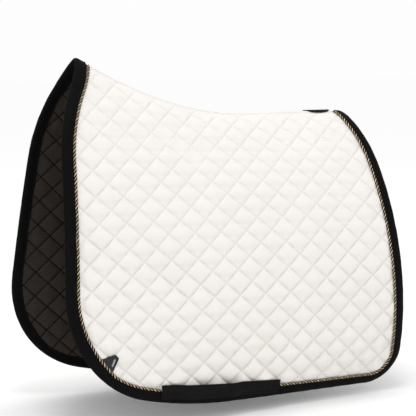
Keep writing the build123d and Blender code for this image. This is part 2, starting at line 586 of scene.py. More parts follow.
@dataclass(frozen=True)
class Finish:
    """A procedural cloth, thread or rubber finish.

    Args:
        name: the material's name.
        colour: linear base colour.
        roughness: surface roughness.
        weave: the relief that the finish carries.
        scale: repeats of the weave in a metre.
        relief: strength of the relief, in metres.
        shine: level of the mirror-like reflection, 0.5 for smooth plastic.
        mottle_and_shade: how far the colour varies from place to place, and on the ribbed lining how
            deep its painted shade is.
    """

    name: str
    colour: tuple[float, float, float]
    roughness: float
    weave: Weave
    scale: float = 900.0
    relief: float = 0.0002
    shine: float = 0.1
    mottle_and_shade: float = 0.2

    def build(self) -> bpy.types.Material:
        """Make the material, unless it is already made.

        Returns:
            The material.
        """
        name = f"look_{self.name}"
        made = bpy.data.materials.get(name)
        if made:
            return made
        material = bpy.data.materials.new(name)
        material.use_nodes = True
        tree = material.node_tree
        shader = tree.nodes["Principled BSDF"]
        shader.inputs["Base Color"].default_value = (*self.colour, 1.0)
        shader.inputs["Roughness"].default_value = self.roughness
        shader.inputs["Specular IOR Level"].default_value = self.shine
        self._tone(tree, shader)
        if self.weave is Weave.MOULDED:
            self._grain(tree, shader)
        else:
            self._relief(tree, shader)
        return material

    def _tone(self, tree: bpy.types.NodeTree, shader: bpy.types.Node) -> None:
        """Vary the colour: softly over the surface, or with painted shade rib by rib and on the stitch
        lines.

        Args:
            tree: the material's nodes.
            shader: its Principled shader.
        """
        ramp = tree.nodes.new("ShaderNodeValToRGB")
        low = tuple(c * (1 - self.mottle_and_shade) for c in self.colour)
        ramp.color_ramp.elements[0].color = (*low, 1.0)
        ramp.color_ramp.elements[1].color = (*self.colour, 1.0)
        if self.weave is Weave.RIBBED_MESH:
            tree.links.new(self._painted_rib_and_crease_shade(tree), ramp.inputs["Fac"])
        else:
            ramp.color_ramp.elements[0].position = 0.3
            ramp.color_ramp.elements[1].position = 0.7
            noise = tree.nodes.new("ShaderNodeTexNoise")
            noise.inputs["Scale"].default_value = UNEVEN_SCALE
            noise.inputs["Detail"].default_value = 5.0
            place = tree.nodes.new("ShaderNodeTexCoord")
            tree.links.new(place.outputs["Object"], noise.inputs["Vector"])
            tree.links.new(noise.outputs["Fac"], ramp.inputs["Fac"])
        tree.links.new(ramp.outputs["Color"], shader.inputs["Base Color"])

    def _painted_rib_and_crease_shade(self, tree: bpy.types.NodeTree) -> bpy.types.NodeSocket:
        """Brightness of the lining: painted shade between the ribs along the pad, and painted shade of
        the creases on the stitch lines.

        Args:
            tree: the material's nodes.

        Returns:
            The brightness, 0 to 1.
        """
        down = flat_axes(tree, "flat")[1]
        # Painted shade: each rib is painted lighter and darker across its width, as shade of its relief.
        rib = calculate(tree, "PINGPONG", calculate(tree, "MULTIPLY", down, self.scale), 0.5)
        tone = calculate(tree, "ADD", rib, RIB_SHADE)
        # Painted shade: the lining is darkened along the quilting's stitch creases.
        for axis in flat_axes(tree, "quilt"):
            off = calculate(tree, "PINGPONG", axis, 0.5)
            clear = calculate(tree, "GREATER_THAN", off, LINING_CREASE_SHADE)
            tone = calculate(tree, "MULTIPLY", tone, clear)
        return tone

    def _relief(self, tree: bpy.types.NodeTree, shader: bpy.types.Node) -> None:
        """Add the weave as bump, from bands across the flat fabric.

        Args:
            tree: the material's nodes.
            shader: its Principled shader.
        """
        flat = tree.nodes.new("ShaderNodeUVMap")
        flat.uv_map = "flat"
        height = None
        blend = "MULTIPLY" if self.weave is Weave.WEBBING else "ADD"
        for direction in self._directions():
            band = tree.nodes.new("ShaderNodeTexWave")
            band.wave_type = "BANDS"
            band.bands_direction = direction
            band.inputs["Scale"].default_value = self.scale * WAVE_UNIT
            band.inputs["Distortion"].default_value = 0.6
            tree.links.new(flat.outputs["UV"], band.inputs["Vector"])
            rise = band.outputs["Fac"]
            height = rise if height is None else calculate(tree, blend, height, rise)
        normal = raise_surface(tree, height, self.relief, None)
        if self.weave is Weave.SATEEN:
            normal = raise_surface(tree, self._stitches(tree), STITCH_HEIGHT, normal)
        tree.links.new(normal, shader.inputs["Normal"])

    def _grain(self, tree: bpy.types.NodeTree, shader: bpy.types.Node) -> None:
        """Add the fine pebble of moulded rubber as bump.

        Args:
            tree: the material's nodes.
            shader: its Principled shader.
        """
        place = tree.nodes.new("ShaderNodeTexCoord")
        noise = tree.nodes.new("ShaderNodeTexNoise")
        noise.inputs["Scale"].default_value = self.scale
        tree.links.new(place.outputs["Object"], noise.inputs["Vector"])
        normal = raise_surface(tree, noise.outputs["Fac"], self.relief, None)
        tree.links.new(normal, shader.inputs["Normal"])

    def _stitches(self, tree: bpy.types.NodeTree) -> bpy.types.NodeSocket:
        """Raise the thread along the quilting's stitch lines, with a hole between stitches.

        Args:
            tree: the material's nodes.

        Returns:
            The height, as a socket.
        """
        a, b = flat_axes(tree, "quilt")
        rows = []
        for across, along in ((a, b), (b, a)):
            off = calculate(tree, "PINGPONG", across, 0.5)
            line = calculate(tree, "LESS_THAN", off, COVER_SEAM)
            count = calculate(tree, "MULTIPLY", along, STITCHES_PER_DIAMOND)
            step = calculate(tree, "PINGPONG", count, 0.5)
            laid = calculate(tree, "GREATER_THAN", step, STITCH_GAP)
            thread = calculate(tree, "SUBTRACT", laid, 0.5)
            rows.append(calculate(tree, "MULTIPLY", line, thread))
        return calculate(tree, "ADD", *rows)

    def _directions(self) -> tuple[str, ...]:
        """Choose the axes of the flat fabric that the weave's bands run across.

        Returns:
            Names of the wave texture's directions.
        """
        if self.weave is Weave.RIBBED_MESH:
            return ("Y",)
        if self.weave in (Weave.TAPE, Weave.THREAD):
            return ("X",)
        if self.weave is Weave.SATEEN:
            return ("DIAGONAL",)
        return ("X", "Y")


SATIN = Finish(
    "quilted_cotton",
    (0.785, 0.758, 0.723),
    roughness=0.5,
    weave=Weave.SATEEN,
    scale=1200.0,
    relief=0.00005,
    shine=0.2,
    mottle_and_shade=0.025,
)
# The lining's colour carries painted shade, rib by rib and along the stitch creases.
LINING = Finish(
    "mesh_lining",
    (0.056, 0.047, 0.041),
    roughness=0.9,
    weave=Weave.RIBBED_MESH,
    scale=250.0,
    relief=0.0004,
    shine=0.0,
    mottle_and_shade=0.85,
)
BINDING = Finish(
    "binding_tape",
    (0.0045, 0.004, 0.004),
    roughness=0.6,
    weave=Weave.TAPE,
    scale=850.0,
    relief=0.00015,
    shine=0.04,
)
WEBBING = Finish(
    "webbing",
    (0.0075, 0.007, 0.007),
    roughness=0.65,
    weave=Weave.WEBBING,
    scale=450.0,
    relief=0.00025,
    shine=0.05,
)
BLACK_THREAD = Finish(
    "stitching",
    (0.016, 0.015, 0.015),
    roughness=0.5,
    weave=Weave.THREAD,
    scale=1600.0,
    relief=0.00005,
    shine=0.1,
)
WHITE_THREAD = Finish(
    "white_thread",
    (0.78, 0.76, 0.73),
    roughness=0.55,
    weave=Weave.THREAD,
    scale=1600.0,
    relief=0.00005,
    mottle_and_shade=0.03,
)
GOLD_STRAND = Finish(
    "gold_strand",
    (0.42, 0.30, 0.16),
    roughness=0.38,
    weave=Weave.THREAD,
    scale=1600.0,
    relief=0.0001,
    shine=0.3,
)
# The gold strand painted lighter: its pale colour is a painted highlight on the cord.
HIGHLIT_GOLD_STRAND = Finish(
    "gold_strand_painted_highlight",
    (0.66, 0.57, 0.43),
    roughness=0.42,
    weave=Weave.THREAD,
    scale=1600.0,
    relief=0.0001,
    shine=0.2,
)
BLACK_STRAND = Finish(
    "black_strand",
    (0.006, 0.005, 0.005),
    roughness=0.6,
    weave=Weave.THREAD,
    scale=1600.0,
    relief=0.0001,
    shine=0.03,
)
WHITE_TAPE = Finish(
    "spine_tape",
    (0.80, 0.785, 0.765),
    roughness=0.5,
    weave=Weave.TAPE,
    scale=850.0,
    relief=0.0001,
    shine=0.2,
    mottle_and_shade=0.03,
)
PATCH = Finish(
    "patch",
    (0.006, 0.006, 0.006),
    roughness=0.6,
    weave=Weave.MOULDED,
    scale=700.0,
    relief=0.0001,
    shine=0.04,
)
RUBBER = Finish(
    "tab_rubber",
    (0.026, 0.027, 0.031),
    roughness=0.5,
    weave=Weave.MOULDED,
    scale=700.0,
    relief=0.0001,
    shine=0.15,
)
RUBBER_BAR = Finish(
    "tab_bar",
    (0.30, 0.30, 0.33),
    roughness=0.4,
    weave=Weave.MOULDED,
    scale=700.0,
    relief=0.0001,
    shine=0.3,
)
FLOOR = Finish(
    "studio_floor",
    (0.99, 0.99, 0.99),
    roughness=0.95,
    weave=Weave.MOULDED,
    scale=60.0,
    relief=0.00001,
    shine=0.0,
    mottle_and_shade=0.003,
)


# --------------------------------------------------------------------------- meshes


@dataclass
class MeshData:
    """Vertices, faces and flat coordinates gathered before a mesh object is made."""

    points: np.ndarray
    faces: np.ndarray
    flat: np.ndarray
    slots: np.ndarray | None = None
    quilt: np.ndarray | None = None

    def build(self, name: str, finishes: list[Finish]) -> bpy.types.Object:
        """Make the object.

        Args:
            name: the piece's name.
            finishes: its finishes, in the order of the face slots.

        Returns:
            The mesh object, smooth shaded and linked to the scene.
        """
        mesh = bpy.data.meshes.new(name)
        mesh.from_pydata(self.points.tolist(), [], self.faces.tolist())
        for finish in finishes:
            mesh.materials.append(finish.build())
        if self.slots is not None:
            mesh.polygons.foreach_set("material_index", self.slots.astype(np.int32))
        loops = np.empty(len(mesh.loops), np.int32)
        mesh.loops.foreach_get("vertex_index", loops)
        for layer, places in (("flat", self.flat), ("quilt", self.quilt)):
            if places is not None:
                uv = mesh.uv_layers.new(name=layer)
                uv.data.foreach_set("uv", places[loops].astype(np.float32).ravel())
        mesh.polygons.foreach_set("use_smooth", np.ones(len(mesh.polygons), bool))
        mesh.update()
        thing = bpy.data.objects.new(name, mesh)
        bpy.context.collection.objects.link(thing)
        return thing


def coordinates(mesh: bpy.types.Mesh) -> np.ndarray:
    """Read the positions of a mesh's vertices.

    Args:
        mesh: the mesh.

    Returns:
        An array with a row for each vertex, in metres.
    """
    found = np.empty(len(mesh.vertices) * 3, np.float32)
    mesh.vertices.foreach_get("co", found)
    return found.reshape(-1, 3).astype(float)


def evaluated(thing: bpy.types.Object) -> bpy.types.Mesh:
    """The mesh of an object with its modifiers applied."""
    return thing.evaluated_get(bpy.context.evaluated_depsgraph_get()).to_mesh()


def strip_faces(rows: int, columns: int, close: bool = False) -> np.ndarray:
    """Quads of a grid of points.

    Args:
        rows: number of rows of points.
        columns: points in each row.
        close: join the last column to the first.

    Returns:
        An array of vertex indices, one quad to a row.
    """
    index = np.arange(rows * columns).reshape(rows, columns)
    right = np.roll(index, -1, axis=1) if close else index[:, 1:]
    left = index if close else index[:, :-1]
    return np.stack([left[:-1], right[:-1], right[1:], left[1:]], axis=-1).reshape(-1, 4)


def tubes(paths: np.ndarray, ups: np.ndarray, radii: np.ndarray, sides: int) -> MeshData:
    """Round tubes along many paths.

    Args:
        paths: points in metres, shaped tubes by rings by 3.
        ups: unit vectors across the paths, of the same shape.
        radii: radius of each ring in metres.
        sides: corners of each ring.

    Returns:
        The tubes' mesh data, open at the ends, which a small first and last radius narrows.
    """
    count, rings, _ = paths.shape
    tangent = np.gradient(paths, axis=1)
    tangent /= np.linalg.norm(tangent, axis=-1, keepdims=True)
    across = np.cross(tangent, ups)
    across /= np.linalg.norm(across, axis=-1, keepdims=True)
    lifted = np.cross(across, tangent)
    angle = 2 * math.pi * np.arange(sides) / sides
    ring = np.cos(angle)[:, None] * across[:, :, None] + np.sin(angle)[:, None] * lifted[:, :, None]
    points = paths[:, :, None] + ring * radii[None, :, None, None]
    one = strip_faces(rings, sides, close=True)
    offsets = np.arange(count) * rings * sides
    faces = (one[None] + offsets[:, None, None]).reshape(-1, 4)
    run = np.linspace(0, 1, rings)[None, :, None] + np.zeros((count, 1, sides))
    turn = np.zeros((count, rings, 1)) + np.arange(sides) / sides
    length = np.linalg.norm(np.diff(paths, axis=1), axis=-1).sum(1)[:, None, None]
    flat = np.stack([run * length, turn * 0.004], axis=-1).reshape(-1, 2)
    return MeshData(points.reshape(-1, 3), faces, flat)


def joined(parts: list[MeshData], slotted: bool = False) -> MeshData:
    """Join several meshes.

    Args:
        parts: the meshes.
        slotted: give each part its own material slot, in order.

    Returns:
        One mesh with the parts' points in order.
    """
    start, points, faces, flat, slots = 0, [], [], [], []
    for number, part in enumerate(parts):
        points.append(part.points)
        faces.append(part.faces + start)
        flat.append(part.flat)
        slots.append(np.full(len(part.faces), number))
        start += len(part.points)
    whole = MeshData(np.vstack(points), np.vstack(faces), np.vstack(flat))
    return replace(whole, slots=np.concatenate(slots)) if slotted else whole


@dataclass(frozen=True)
class Stitching:
    """A row of thread stitches lying on a surface.

    Args:
        pitch: distance from one stitch to the next, in millimetres.
        length: visible length of a stitch.
        radius: radius of the thread.
    """

    pitch: float = 3.6
    length: float = 2.6
    radius: float = 0.32

    ALONG = (-0.5, -0.38, 0.0, 0.38, 0.5)
    RISE = (-1.0, 0.1, 0.5, 0.1, -1.0)
    FULLNESS = (0.35, 1.0, 1.0, 1.0, 0.35)

    def mesh(
        self, form: PadForm, x: np.ndarray, v: np.ndarray, lift: np.ndarray, side: Side
    ) -> MeshData:
        """Stitches along a line of closely spaced flat points.

        Args:
            form: the pad's shape.
            x: the line's distances along the pad.
            v: the line's distances down the flap.
            lift: the surface's heights along the line.
            side: the flap.

        Returns:
            The stitches' mesh data.
        """
        points = form.place(x, v, lift, side)
        ups = form.normals(x, v, side)
        run = run_along(points) / MM
        centres = np.arange(self.pitch / 2, run[-1] - self.pitch / 2, self.pitch)
        along = np.array(self.ALONG) * self.length
        height = np.array(self.RISE) * self.radius * MM
        at = centres[:, None] + along[None, :]
        paths = np.stack([np.interp(at, run, points[:, k]) for k in range(3)], axis=-1)
        up = np.stack([np.interp(at, run, ups[:, k]) for k in range(3)], axis=-1)
        paths = paths + up * height[None, :, None]
        radii = np.array(self.FULLNESS) * self.radius * MM
        return tubes(paths, up, radii, 6)


TAPE_THREAD = Stitching(3.4, 2.5, 0.3)
KEEPER_THREAD = Stitching(3.0, 2.3, 0.34)
# A point this near a stitch line, in diamonds, lies on it.
SEWN = 1e-6


# --------------------------------------------------------------------------- sub-assemblies


@dataclass
class Bend:
    """Bend zone between the spine and a flap; applying it only bakes a piece's placement into its mesh.
    """

    start: float = 0.016
    end: float = 0.062

    def apply(self, piece: bpy.types.Object, side: Side) -> None:
        """Bake a piece's placement into its mesh; the piece does not bend."""
        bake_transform(piece)


@dataclass(frozen=True)
class Inflation:
    """Cloth simulation that fills a quilted sheet with wadding between its stitch lines.

    Args:
        pressure: outward pressure of the wadding.
        growth: how much larger the cloth is than the flat shape it is sewn to.
        frames: last frame of the simulation.
        cap: furthest that a point may move, in millimetres.
    """

    pressure: float = 9.0
    growth: float = 0.05
    frames: int = 20
    cap: float = 3.2
    quality: int = 5
    mass: float = 0.15
    stretch_stiffness: float = 18.0
    shear_stiffness: float = 6.0
    bending_stiffness: float = 0.15

    def run(self, sheet: bpy.types.Object, held: np.ndarray) -> None:
        """Inflate a sheet and keep the result in its mesh.

        Args:
            sheet: the mesh object, with its faces looking outward.
            held: indices of the vertices that the stitches hold.
        """
        sheet.vertex_groups.new(name="held").add(held.tolist(), 1.0, "REPLACE")
        cloth = sheet.modifiers.new("wadding", "CLOTH")
        settings = cloth.settings
        settings.quality = self.quality
        settings.mass = self.mass
        settings.tension_stiffness = self.stretch_stiffness
        settings.compression_stiffness = self.stretch_stiffness
        settings.shear_stiffness = self.shear_stiffness
        settings.bending_stiffness = self.bending_stiffness
        settings.use_pressure = True
        settings.uniform_pressure_force = self.pressure
        settings.shrink_min = -self.growth
        settings.vertex_group_mass = "held"
        settings.effector_weights.gravity = 0.0
        cloth.point_cache.frame_end = self.frames
        scene = bpy.context.scene
        for frame_number in range(1, self.frames + 1):
            scene.frame_set(frame_number)
        start, moved = coordinates(sheet.data), coordinates(evaluated(sheet))
        sheet.modifiers.clear()
        scene.frame_set(1)
        change = moved - start
        reach = np.linalg.norm(change, axis=1, keepdims=True)
        most, usual = reach.max() / MM, reach.mean() / MM
        LOG.info("wadding moved the sheet %.1f mm at most, %.1f mm on average", most, usual)
        limit = self.cap * MM
        change *= np.minimum(1.0, limit / np.maximum(reach, 1e-9))
        sheet.data.vertices.foreach_set("co", (start + change).astype(np.float32).ravel())
        sheet.data.update()
        sheet.vertex_groups.clear()


@dataclass
class QuiltedSheet:
    """One quilted sheet, cover or lining, shaped for the right flap.

    Args:
        form: the pad's shape.
        rim: the flap's edge.
        outer: true for the cover and false for the lining.
        line: lift of the stitch lines, in millimetres.
        relief: height of the diamonds before they are inflated.
        edge: lift of the sheet where the binding takes it.
        finish: the sheet's finish.
    """

    form: PadForm
    rim: Rim
    outer: bool
    line: float
    relief: float
    edge: float
    finish: Finish
    quilt: Quilt = field(default_factory=Quilt)
    inflation: Inflation = field(default_factory=Inflation)
    divisions: int = 7
    crowding: float = 0.35
    reach: tuple[float, float] = (360.0, 640.0)
    tuck: float = 9.0
    edge_fade: tuple[float, float] = (16.0, 36.0)
    spine_fade: tuple[float, float] = (8.0, 30.0)
    full_span: tuple[float, float] = (60.0, 480.0)
    fullness: tuple[float, float] = (0.62, 0.6)
    held_fade: float = 0.3
    held_band: float = 12.0
    diamond: float = 33.0
    gather_height: float = 0.2
    groove_depth: float = 0.5
    groove_width: float = 1.3
    waves: tuple[Ripple, ...] = (Ripple(0.8, 130.0, 5), Ripple(0.3, 38.0, 9))
    wave_share: float = 0.8
    wave_start: float = 60.0
    laid: np.ndarray = field(init=False)
    shape: MeshData = field(init=False)

    def __post_init__(self) -> None:
        """Lay, inflate and refine the sheet."""
        a, b, x, v, quads = self._lattice()
        self.laid = np.column_stack([a, b])
        fade = self._fade(x, v)
        lift = self.line + self.relief * self.quilt.puff(a, b)
        lift = self.edge + (lift - self.edge) * fade
        points = self.form.place(x, v, lift, Side.RIGHT)
        facing = quads[:, ::-1] if self.outer else quads
        sheet = MeshData(points, facing, self.laid).build("quilting", [self.finish])
        self.inflation.run(sheet, self._held(a, b, v, fade))
        self.shape = self._refined(sheet)
        bpy.data.objects.remove(sheet)

    def _lattice(self) -> tuple[np.ndarray, ...]:
        """Lattice points over the flap, closer together beside the stitch lines.

        Returns:
            The a, b, x and v of the kept points, and the quads that join them.
        """
        step = np.arange(self.divisions) / self.divisions
        eased = step - self.crowding * np.sin(2 * math.pi * step) / (2 * math.pi)
        width, depth = self.reach
        far = [(x, v) for x in (-width, width) for v in (0.0, depth)]
        corners = [self.quilt.lattice(self.form, np.array([x]), np.array([v])) for x, v in far]
        axes = []
        for axis in (0, 1):
            found = [float(corner[axis][0]) for corner in corners]
            cells = range(math.floor(min(found)) - 4, math.ceil(max(found)) + 4)
            axes.append(np.concatenate([eased + cell for cell in cells]))
        a, b = np.meshgrid(*axes, indexing="ij")
        x, v = self.quilt.flat(self.form, a, b)
        keep = (np.abs(x) < width) & (v > 0) & (v < depth)
        keep[keep] = self.rim.inside(x[keep], v[keep]) > self.tuck
        quads = strip_faces(*x.shape)
        quads = quads[keep.ravel()[quads].all(axis=1)]
        used, quads = np.unique(quads, return_inverse=True)
        return tuple(q.ravel()[used] for q in (a, b, x, v)) + (quads.reshape(-1, 4),)

    def _fade(self, x: np.ndarray, v: np.ndarray) -> np.ndarray:
        """How much of the quilting's relief is left: less beside the binding and the spine.

        Args:
            x: distances along the pad.
            v: distances down the flap.

        Returns:
            Shares of the full relief.
        """
        edge = rising(self.rim.inside(x, v), *self.edge_fade)
        spine = rising(v, *self.spine_fade)
        least, more = self.fullness
        return edge * spine * (least + more * rising(v, *self.full_span))

    def _held(self, a: np.ndarray, b: np.ndarray, v: np.ndarray, fade: np.ndarray) -> np.ndarray:
        """Indices of the points on a stitch line, beside the binding or under the spine's tape."""
        near = np.minimum(np.abs(a - np.round(a)), np.abs(b - np.round(b)))
        return np.flatnonzero((near < SEWN) | (fade < self.held_fade) | (v < self.held_band))

    def _creases(self, mesh: bpy.types.Mesh) -> np.ndarray:
        """How sharply each edge stays folded when the sheet is refined.

        Args:
            mesh: the sheet's mesh.

        Returns:
            For each edge, 1 on a stitch line and 0 elsewhere.
        """
        ends = np.empty(len(mesh.edges) * 2, np.int32)
        mesh.edges.foreach_get("vertices", ends)
        first, last = self.laid[ends.reshape(-1, 2)].transpose(1, 0, 2)
        along = (np.abs(first - last) < SEWN) & (np.abs(first - np.round(first)) < SEWN)
        return along.any(axis=1).astype(float)

    def _refined(self, sheet: bpy.types.Object) -> MeshData:
        """Subdivide the sheet once and add its fine gathers, stitch grooves and slow waves.

        Args:
            sheet: the inflated sheet.

        Returns:
            The finished mesh data.
        """
        smoother = sheet.modifiers.new("smoother", "SUBSURF")
        smoother.levels = 1
        smoother.boundary_smooth = "PRESERVE_CORNERS"
        sewn = sheet.data.attributes.new("crease_edge", "FLOAT", "EDGE")
        sewn.data.foreach_set("value", self._creases(sheet.data).astype(np.float32))
        fine = evaluated(sheet)
        points = coordinates(fine)
        quads = np.empty(len(fine.loops), np.int32)
        fine.loops.foreach_get("vertex_index", quads)
        lattice = np.zeros((len(points), 2), np.float32)
        uv = np.empty(len(fine.loops) * 2, np.float32)
        fine.uv_layers["flat"].data.foreach_get("uv", uv)
        lattice[quads] = uv.reshape(-1, 2)
        a, b = lattice[:, 0].astype(float), lattice[:, 1].astype(float)
        x, v = self.quilt.flat(self.form, a, b)
        v = np.maximum(v, 0.0)
        fade = self._fade(x, v)
        away = np.minimum(np.abs(a - np.round(a)), np.abs(b - np.round(b))) * self.diamond
        groove = self.groove_depth * fade * np.exp(-((away / self.groove_width) ** 2))
        change = self.gather_height * self.quilt.pucker(a, b) * fade - groove
        sign = 1.0 if self.outer else -1.0
        waves = sum(wave.height(x, v) for wave in self.waves)
        change = sign * change + self.wave_share * waves * smooth(v / self.wave_start) * smooth(fade * 4)
        points += self.form.normals(x, v, Side.RIGHT) * (change * MM)[:, None]
        return MeshData(points, quads.reshape(-1, 4), np.column_stack([x, v]) * MM, quilt=lattice)

    def piece(self, name: str, side: Side) -> bpy.types.Object:
        """Make the sheet as a piece of one flap, mirrored for the left one.

        Args:
            name: the piece's name.
            side: the flap.

        Returns:
            The mesh object.
        """
        faces = self.shape.faces if side is Side.RIGHT else self.shape.faces[:, ::-1]
        points = self.shape.points * np.array([1.0, side.value, 1.0])
        mirrored = replace(self.shape, points=points, faces=faces)
        return mirrored.build(name, [self.finish])


@dataclass
class QuiltedFlap:
    """The quilted cover and the lining of one flap.

    Args:
        cover: the shaped cover.
        lining: the shaped lining.
        side: which flap.
    """

    cover: QuiltedSheet
    lining: QuiltedSheet
    side: Side
    bend: Bend = field(default_factory=Bend)

    def build(self) -> list[bpy.types.Object]:
        """Make the cover and the lining and bake their placement into their meshes.

        Returns:
            The pieces made.
        """
        word = self.side.word
        cover = self.cover.piece(f"{word}_quilted_cover", self.side)
        lining = self.lining.piece(f"{word}_quilted_lining", self.side)
        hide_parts(f"{word}_cover", f"{word}_foam_core")
        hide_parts(f"{word}_lining")
        for piece in (cover, lining):
            self.bend.apply(piece, self.side)
        return [cover, lining]


@dataclass
class EdgeTrim:
    """The binding, its stitches and the twisted cord along one flap's edge.

    Args:
        form: the pad's shape.
        rim: the flap's edge.
        side: which flap.
    """

    form: PadForm
    rim: Rim
    side: Side
    bend: Bend = field(default_factory=Bend)
    width: float = 20.0
    cord_inset: float = 22.1
    cord_lift: float = 0.9
    cord_end: float = 9.0
    strand_radii: tuple[float, ...] = (1.1, 1.35, 1.1, 1.35)
    strand_offset: float = 1.2
    pitch: float = 14.0
    seam_inset: float = 2.6
    seam_lifts: tuple[float, float] = (0.2, -8.6)

    PROFILE = (
        (20.4, -2.2),
        (20.2, -0.6),
        (19.2, 0.25),
        (17.4, 0.1),
        (14.0, 0.55),
        (9.0, 0.55),
        (5.0, 0.2),
        (2.2, -0.8),
        (0.5, -2.6),
        (0.0, -4.3),
        (0.6, -6.1),
        (2.4, -7.7),
        (5.0, -8.5),
        (9.0, -8.9),
        (14.0, -8.9),
        (17.4, -8.5),
        (19.2, -8.6),
        (20.2, -7.9),
        (20.4, -6.6),
    )

    def _binding(self) -> MeshData:
        """Sweep the folded tape along the edge.

        Returns:
            The mesh data.
        """
        run = np.arange(0.0, self.rim.length + 1.0, 2.0)
        inset = np.array([p[0] for p in self.PROFILE])[None, :]
        lift = np.array([p[1] for p in self.PROFILE])[None, :]
        shift = Ripple(0.35, 60.0, 3).height(run, 0 * run)[:, None]
        body = inset + shift * (inset / self.width)
        x, v = self.rim.at(np.repeat(run[:, None], body.shape[1], 1), body)
        v = np.where(run[:, None] <= 0, 0.0, v)
        v = np.where(run[:, None] >= self.rim.length, 0.0, v)
        swell = Ripple(0.25, 26.0, 12).height(run[:, None], inset * 2.0)
        points = self.form.place(x, np.maximum(v, 0.0), lift + swell, self.side)
        faces = strip_faces(len(run), body.shape[1])
        if self.side is Side.LEFT:
            faces = faces[:, ::-1]
        girth = run_along(np.array(self.PROFILE))
        flat = np.stack(np.broadcast_arrays(run[:, None], girth[None, :]), axis=-1)
        return MeshData(points.reshape(-1, 3), faces, flat.reshape(-1, 2) * MM)

    def _seams(self) -> MeshData:
        """Sew the tape down, on both faces.

        Returns:
            The mesh data.
        """
        run = np.arange(4.0, self.rim.length - 3.0, 1.0)
        x, v = self.rim.at(run, np.full(run.shape, self.width - self.seam_inset))
        lifts = [np.full(run.shape, lift) for lift in self.seam_lifts]
        return joined([TAPE_THREAD.mesh(self.form, x, v, lift, self.side) for lift in lifts])

    def _strands(self) -> MeshData:
        """Twist the cord's four strands round each other.

        Returns:
            The mesh data, with a slot for each strand.
        """
        run = np.arange(2.0, self.rim.length - 2.0, 1.0)
        x, v = self.rim.at(run, np.full(run.shape, self.cord_inset))
        inside = v > self.cord_end
        run, x, v = run[inside], x[inside], v[inside]
        core = self.form.place(x, v, np.full(run.shape, self.cord_lift), self.side)
        up = self.form.normals(x, v, self.side)
        tangent = np.gradient(core, axis=0)
        tangent /= np.linalg.norm(tangent, axis=1, keepdims=True)
        across = np.cross(tangent, up)
        length = run_along(core) / MM
        strands = []
        for number, radius in enumerate(self.strand_radii):
            turn = self.side.value * 2 * math.pi * (length / self.pitch + number / 4)
            spin = np.cos(turn)[:, None] * across + np.sin(turn)[:, None] * up
            path = core + spin * self.strand_offset * MM
            radii = np.full(len(path), radius * MM)
            radii[0] = radii[-1] = 0.0002
            strands.append(tubes(path[None], spin[None], radii, 8))
        return joined(strands, slotted=True)

    def build(self) -> list[bpy.types.Object]:
        """Make the trim and bake its placement into its meshes.

        Returns:
            The pieces made.
        """
        word = self.side.word
        binding = self._binding().build(f"{word}_binding", [BINDING])
        seams = self._seams().build(f"{word}_binding_stitches", [BLACK_THREAD])
        # The third strand is the gold strand with a painted highlight in its colour.
        strand_finishes = [GOLD_STRAND, BLACK_STRAND, HIGHLIT_GOLD_STRAND, BLACK_STRAND]
        cord = self._strands().build(f"{word}_twisted_cord", strand_finishes)
        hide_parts(f"{word}_edge_binding")
        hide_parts(f"{word}_trim_cord")
        for piece in (binding, seams, cord):
            self.bend.apply(piece, self.side)
        return [binding, seams, cord]


